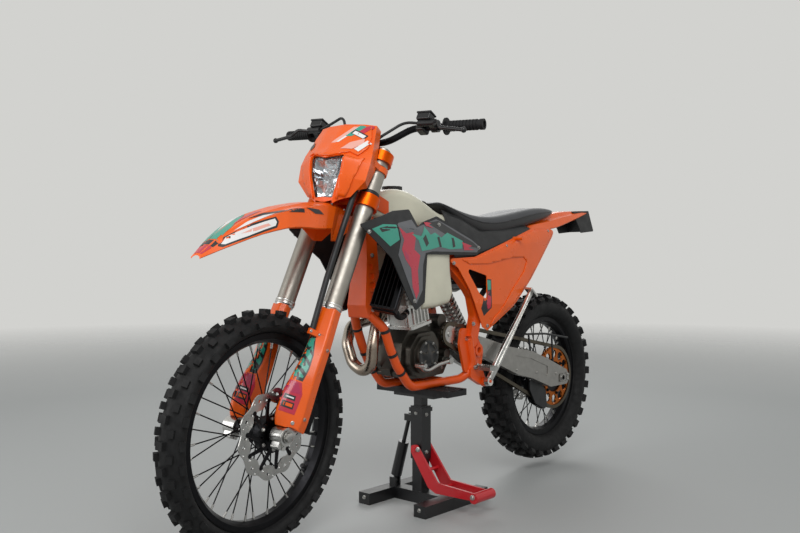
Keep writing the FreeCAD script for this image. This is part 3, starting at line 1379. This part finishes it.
seat = lofted([
    rounded_section(46, 40, PLATE + 644, PLATE + 650, 2.5),
    rounded_section(-80, 64, PLATE + 608, PLATE + 634, 10),
    rounded_section(-256, 82, PLATE + 536, PLATE + 602, 22),
    rounded_section(-480, 92, PLATE + 556, PLATE + 626, 22),
    rounded_section(-690, 86, PLATE + 606, PLATE + 652, 18),
    rounded_section(-766, 70, PLATE + 630, PLATE + 650, 8),
])
solid_node("seat", seat.cut(whole_tank))


def tail_outline(x, top, half, edge):
    """The rear fender's bent strip: a crown, a step and a short flank."""
    thickness = size.fender_thickness
    drop = (top - edge)
    upper = [(0.0, top), (0.56, top - drop * 0.06), (0.66, top - drop * 0.36),
             (0.86, top - drop * 0.48), (1.0, edge)]
    left = [Vector(x, share * half, PLATE + z) for share, z in upper[1:]]
    right = [Vector(p.x, -p.y, p.z) for p in left[::-1]]
    outer = right + [Vector(x, 0, PLATE + top)] + left
    inner = [
        Vector(p.x, p.y * (1 - thickness / half), p.z - thickness * 0.95) for p in outer[::-1]
    ]
    return Part.makePolygon(outer + inner + outer[:1])


rear_fender = lofted([
    tail_outline(-560, 588, 92, 562),
    tail_outline(-640, 606, 95, 568),
    tail_outline(-713, 624, 95, 572),
    tail_outline(-800, 640, 90, 588),
    tail_outline(-900, 650, 82, 612),
    tail_outline(-1000, 657, 70, 636),
    tail_outline(-1075, 661, 54, 652),
])
fender_cuts = [seat, subframe]
rear_fender = rear_fender.cut(fender_cuts)
rear_fender = max(rear_fender.Solids, key=lambda piece: piece.Volume)
solid_node("rear_fender", rear_fender)


# Side panels and shrouds: creased skins trimmed by their side outline
def creased_skin(stations, thickness):
    """A bent sheet: each station is x and its (y, rise) points from low to high."""
    sections = []
    for x, points in stations:
        outer = [at(x, y, rise) for y, rise in points]
        inner = [p - LEFT * float(thickness) for p in outer[::-1]]
        sections.append(Part.makePolygon(outer + inner + outer[:1]))
    return lofted(sections)


def trimmed(skin, outline, radius):
    prism = side_plate([at(x, 0, rise) for x, rise in outline], radius, 20, 320)
    piece = skin.common(prism)
    return max(piece.Solids, key=lambda solid: solid.Volume)


panel_skin = creased_skin([
    (30, [(112, 100), (122, 300), (122, 430), (108, 620)]),
    (-120, [(112, 100), (131, 290), (130, 440), (112, 620)]),
    (-300, [(108, 100), (138, 280), (136, 470), (104, 640)]),
    (-480, [(104, 100), (136, 300), (135, 505), (100, 660)]),
    (-710, [(100, 100), (116, 330), (118, 540), (92, 680)]),
], size.panel_thickness)
panel_outline = [
    (8, 442), (-141, 450), (-239, 479), (-518, 562), (-655, 570), (-690, 556), (-600, 470),
    (-495, 369), (-370, 268), (-228, 186), (-196, 200), (-150, 268), (-112, 335), (-50, 412),
]
window_outline = [(-92, 412), (-207, 384), (-207, 297), (-166, 320)]
silencer_side = [
    (8, 442), (-141, 450), (-239, 479), (-518, 562), (-655, 570), (-690, 556), (-676, 520),
    (-640, 512), (-380, 428), (-320, 388), (-180, 345), (-60, 412),
]
window = side_plate([at(x, 0, rise) for x, rise in window_outline], 8, 60, 200)


def with_pegs(shell):
    """Fuse the pegs that hold the panel on its subframe."""
    whole = shell
    for x, rise in ((-400, 521), (-200, 478)):
        long_peg = cylinder(7, at(x, 66, rise), at(x, 160, rise))
        inside = long_peg.cut(shell).Solids
        inner = min(inside, key=lambda piece: piece.CenterOfMass.y)
        whole = whole.fuse(inner)
    return whole.cut([subframe, airbox])


left_panel = with_pegs(trimmed(panel_skin, panel_outline, 8).cut(window))
right_panel = mirrored(with_pegs(trimmed(panel_skin, silencer_side, 8)))
panels = [max(piece.Solids, key=lambda solid: solid.Volume) for piece in (left_panel, right_panel)]
solid_node("side_panels", Part.makeCompound(panels))

shroud_skin = creased_skin([
    (490, [(160, 200), (158, 537), (116, 640)]),
    (300, [(160, 200), (160, 537), (116, 640)]),
    (200, [(154, 200), (150, 534), (106, 640)]),
    (100, [(146, 200), (141, 520), (108, 640)]),
    (-60, [(136, 200), (134, 492), (112, 640)]),
    (-220, [(132, 200), (128, 478), (112, 640)]),
], size.panel_thickness)
shroud_outline = [
    (474, 540), (300, 590), (206, 600), (184, 545), (150, 560), (64, 584), (-60, 540),
    (-150, 506), (-190, 478), (-150, 456), (140, 456), (158, 300), (206, 276), (250, 320),
    (330, 440),
]
left_shroud = trimmed(shroud_skin, shroud_outline, 6)
solid_node("shrouds", Part.makeCompound([left_shroud, mirrored(left_shroud)]))

# Radiators beside the down tube, swept back, behind slatted guards
COOLER_HALF = 40
COOLER_HEIGHT = 226
sweep = Rotation(LEFT, -(90 - float(size.head_angle))).multiply(Rotation(Z_WAY, 22))
cooler_place = Placement(at(254, 102, 374), sweep)


def radiator():
    """The left cooler, its slats, and stays to the down tube and the shroud."""
    half_height = COOLER_HEIGHT / 2
    core = softened(
        Part.makeBox(30, 2 * COOLER_HALF, COOLER_HEIGHT, Vector(-15, -COOLER_HALF, -half_height)), 5
    )
    slats = []
    for i in range(6):
        slat = Part.makeBox(18, 3.2, COOLER_HEIGHT - 12, Vector(0, -1.6, 6 - half_height))
        slat.Placement = Placement(
            Vector(13, -COOLER_HALF + 6 + i * 13.6, 0), Rotation(Z_WAY, -24)
        )
        slats.append(slat)
    for z in (-half_height + 4, half_height - 12):
        slats.append(Part.makeBox(17, 2 * COOLER_HALF - 4, 8, Vector(12, 2 - COOLER_HALF, z)))
    whole = core.fuse(slats)
    whole.Placement = cooler_place
    stays = [
        cylinder(7, at(262, 30, 356), at(262, 78, 356)),
        cylinder(7, at(230, 120, 380), at(230, 170, 380)),
    ]
    return whole.fuse(stays)


left_radiator = radiator().cut([frame_solid, left_shroud, whole_tank])
left_radiator = max(left_radiator.Solids, key=lambda piece: piece.Volume)
solid_node("radiators", Part.makeCompound([left_radiator, mirrored(left_radiator)]))

# Plate holder: a hood under the fender's end, with the lamp on its rear face
holder_top = at(-1080, 0, 660)
holder_low = at(-1126, 0, 572)
holder_way = (holder_low - holder_top).normalize()
holder_out = Vector(holder_way.z, 0, -holder_way.x)
holder_half = 56
holder_wall = 4


def holder_slab(start, end, low, high, half_y):
    """A slab laid along the hood's rear slope."""
    corners = [
        holder_top + holder_way * start + holder_out * low,
        holder_top + holder_way * end + holder_out * low,
        holder_top + holder_way * end + holder_out * high,
        holder_top + holder_way * start + holder_out * high,
    ]
    return side_plate(corners, 1.5, -half_y, half_y)


hood = side_plate(
    [at(-946, 0, 652), holder_top, holder_low, at(-1018, 0, 562)], 5, -holder_half, holder_half
)
hood_room = side_plate(
    [at(-962, 0, 646), holder_top + Vector(8, 0, -8), holder_low + Vector(8, 0, -30), at(-1012, 0, 530)],
    3, holder_wall - holder_half, holder_half - holder_wall,
)
hood = hood.cut([hood_room, rear_fender])
hood = max(hood.Solids, key=lambda piece: piece.Volume)
solid_node("plate_holder", hood)
solid_node("tail_lamp", holder_slab(16, 44, 0.2, 12, 32))

# Footpegs with toothed edges, and the foot controls
PEG_X = -208
PEG_LENGTH = 78
peg = Part.makeBox(46, PEG_LENGTH, 16, at(PEG_X, 102.2, 50))
peg_cuts = []
for i in range(2):
    peg_cuts.append(Part.makeBox(30, 26, 20, at(PEG_X + 8, 110 + 34 * i, 48)))
for i in range(8):
    peg_cuts.append(Part.makeBox(50, 5, 5, at(PEG_X - 2, 106 + 9.4 * i, 61)))
peg = peg.cut(peg_cuts)
pegs = [peg.cut(frame_solid), mirrored(peg).cut(frame_solid)]
solid_node("footpegs", Part.makeCompound(pegs))
SHIFT_Y = 102
shift_lever = tube([
    at(-34, SHIFT_Y, 92), at(30, SHIFT_Y, 84), at(96, SHIFT_Y + 4, 66), at(146, SHIFT_Y + 10, 92),
], 6.5, 80).fuse([
    cylinder(12, at(-34, SHIFT_Y - 22, 92), at(-34, SHIFT_Y + 8, 92)),
    cylinder(8, at(146, SHIFT_Y + 2, 92), at(146, SHIFT_Y + 42, 92)),
]).cut(crankcase)
PEDAL_Y = -116
brake_pedal = tube([
    at(-150, PEDAL_Y, 34), at(-60, PEDAL_Y, 20), at(50, PEDAL_Y - 2, 26), at(126, PEDAL_Y, 58),
], 7, 90).fuse([
    cylinder(13, at(-150, -102, 34), at(-150, PEDAL_Y - 10, 34)),
    softened(Part.makeBox(44, 36, 12, at(108, PEDAL_Y - 20, 54)), 3),
]).cut([frame_solid, pegs[1]])
solid_node("foot_controls", Part.makeCompound([shift_lever, brake_pedal]))

# Side stand, folded up: a forged arm with a groove down its outer face
stand_tip = at(-452, 160, 318)
prop_way = (stand_tip - stand_pivot).normalize()
prop_length = (stand_tip - stand_pivot).Length
prop_frame = Placement(stand_pivot, Rotation(LEFT, prop_way.cross(LEFT), prop_way, "ZYX"))
prop_stations = ((10, 11, 9), (60, 15, 8.5), (prop_length * 0.6, 11, 8), (prop_length, 10, 8))
prop = lofted([
    rounded_outline([
        Vector(-deep, -wide, z), Vector(deep, -wide, z), Vector(deep, wide, z), Vector(-deep, wide, z),
    ], 5)
    for z, wide, deep in prop_stations
])
groove = Part.makeBox(10, 9, prop_length - 90, Vector(5, -4.5, 50))
foot_pad = softened(Part.makeBox(36, 52, 9, Vector(-16, -26, prop_length - 2)), 3)
prop = prop.cut(groove).fuse(foot_pad)
prop.Placement = prop_frame
eye = cylinder(16, stand_pivot - stand_axis * 9, stand_pivot + stand_axis * 9)
eye_bore = cylinder(5.8, stand_pivot - stand_axis * 20, stand_pivot + stand_axis * 20)
solid_node("side_stand", prop.fuse(eye).cut(eye_bore))

# Lift stand
half_beam = size.beam_width / 2
half_column = size.column / 2
outer_half = size.carriage / 2
plate_low = PLATE - float(size.plate_thickness)
UNDER_PLATE = 12
sleeve_low = PLATE * 0.376
sleeve_high = plate_low - UNDER_PLATE - 34
column_top = sleeve_low + 48
LUG_HALF = 14.2
LUG_WALL = 6


def stand_block(name, low, high):
    """A box between two corners given as points."""
    return block(name, low, high.x - low.x, high.y - low.y, high.z - low.z)


skids = [
    block(f"stand_skid_{name}", Vector(size.beam_rear, side * float(size.beam_half) - half_beam, 0),
          size.beam_front - size.beam_rear, size.beam_width, size.beam_height)
    for name, side in (("left", 1), ("right", -1))
]
cross = stand_block(
    "stand_cross", Vector(-outer_half, half_beam - size.beam_half, 0),
    Vector(outer_half, size.beam_half - half_beam, size.beam_height),
)
column = stand_block(
    "stand_column", Vector(-half_column, -half_column, 0), Vector(half_column, half_column, column_top)
)
damper_low = Vector(0, -120, size.beam_height + 16)
damper_high = Vector(0, -52, sleeve_high - 46)
low_lugs = [
    stand_block(f"damper_foot_{name}", Vector(x, -134, size.beam_height),
                Vector(x + LUG_WALL, -106, size.beam_height + 28))
    for name, x in (("rear", -LUG_HALF), ("front", LUG_HALF - LUG_WALL))
]
publish(union("stand_base", skids + [cross, column] + low_lugs), "stand_base")
sleeve = Part.makeBox(
    size.carriage, size.carriage, sleeve_high - sleeve_low, Vector(-outer_half, -outer_half, sleeve_low)
).cut(Part.makeBox(
    size.column + 2 * size.running_gap, size.column + 2 * size.running_gap, 49,
    Vector(-half_column - size.running_gap, -half_column - size.running_gap, sleeve_low - 1),
))
collar = Part.makeBox(
    size.carriage + 8, size.carriage + 8, 14, Vector(-outer_half - 4, -outer_half - 4, sleeve_high - 20)
)
post = Part.makeBox(34, 34, plate_low - UNDER_PLATE - sleeve_high, Vector(-17, -17, sleeve_high))
under = Part.makeBox(80, 180, UNDER_PLATE, Vector(-40, -90, plate_low - UNDER_PLATE))
high_lugs = [
    Part.makeBox(LUG_WALL, 40, 24, Vector(x, -64, damper_high.z - 12))
    for x in (-LUG_HALF, LUG_HALF - LUG_WALL)
]
stand_carriage = sleeve.fuse([collar, post, under] + high_lugs)
solid_node("stand_carriage", stand_carriage)
half_plate = size.plate_length / 2
plate = block(
    "stand_plate_stock", Vector(-half_plate, -size.plate_width / 2, plate_low),
    size.plate_length, size.plate_width, size.plate_thickness,
)
trough = block(
    "stand_plate_trough", Vector(-half_plate + 18, -size.plate_width, PLATE - 5),
    size.plate_length - 36, size.plate_width * 2, 10,
)
publish(difference("stand_plate", plate, trough), "stand_plate")
LEVER_WALL = 8
lever_pivot_z = sleeve_low + 35
lever_outline = [
    (-12, lever_pivot_z + 14), (12, lever_pivot_z + 18), (104, 88), (272, 78), (272, 54),
    (96, 52), (64, 66), (-14, lever_pivot_z - 8),
]
lever_arms = [
    end_plate(lever_outline, 10, x, x + LEVER_WALL)
    for x in (outer_half + 5, -outer_half - 5 - LEVER_WALL)
]
arm_reach = outer_half + 5 + LEVER_WALL
lever_bar = Part.makeCylinder(size.lever_bar_radius, 2 * arm_reach + 26, Vector(-arm_reach - 13, 265, 66), Vector(1, 0, 0))
lever_pin = Part.makeCylinder(8, 2 * arm_reach + 8, Vector(-arm_reach - 4, 2, lever_pivot_z), Vector(1, 0, 0))
rungs = [
    Part.makeCylinder(6, 2 * arm_reach, Vector(-arm_reach, y, z), Vector(1, 0, 0))
    for y, z in ((50, 122), (112, 70))
]
stand_lever = lever_bar.fuse(lever_arms + [lever_pin] + rungs).cut(
    Part.makeBox(size.carriage, size.carriage + 4, 120, Vector(-outer_half, -outer_half, sleeve_low - 30))
)
solid_node("stand_lever", stand_lever)
damper_way = (damper_high - damper_low).normalize()
damper_eyes = [
    Part.makeCylinder(9, 16, end - Vector(8, 0, 0), Vector(1, 0, 0)) for end in (damper_low, damper_high)
]
stand_damper = cylinder(
    size.damper_radius, damper_low + damper_way * 22, damper_low + damper_way * 150
).fuse([cylinder(7, damper_low, damper_high)] + damper_eyes)
solid_node("stand_damper", stand_damper.cut(stand_carriage))

doc.recompute()
for obj in doc.Objects:
    if "Invalid" in obj.State or "Error" in obj.State:
        raise RuntimeError(f"{obj.Label} failed: {obj.State}")
for obj in nodes:
    shape = obj.Shape
    if shape.isNull() or not shape.isValid() or not shape.Solids:
        raise RuntimeError(f"{obj.Label} has no valid solid")
os.makedirs("parts", exist_ok=True)
for obj in nodes:
    obj.Shape.exportStep(os.path.join("parts", obj.Label + ".step"))
    print(obj.Label, len(obj.Shape.Solids), round(obj.Shape.Volume / 1000))
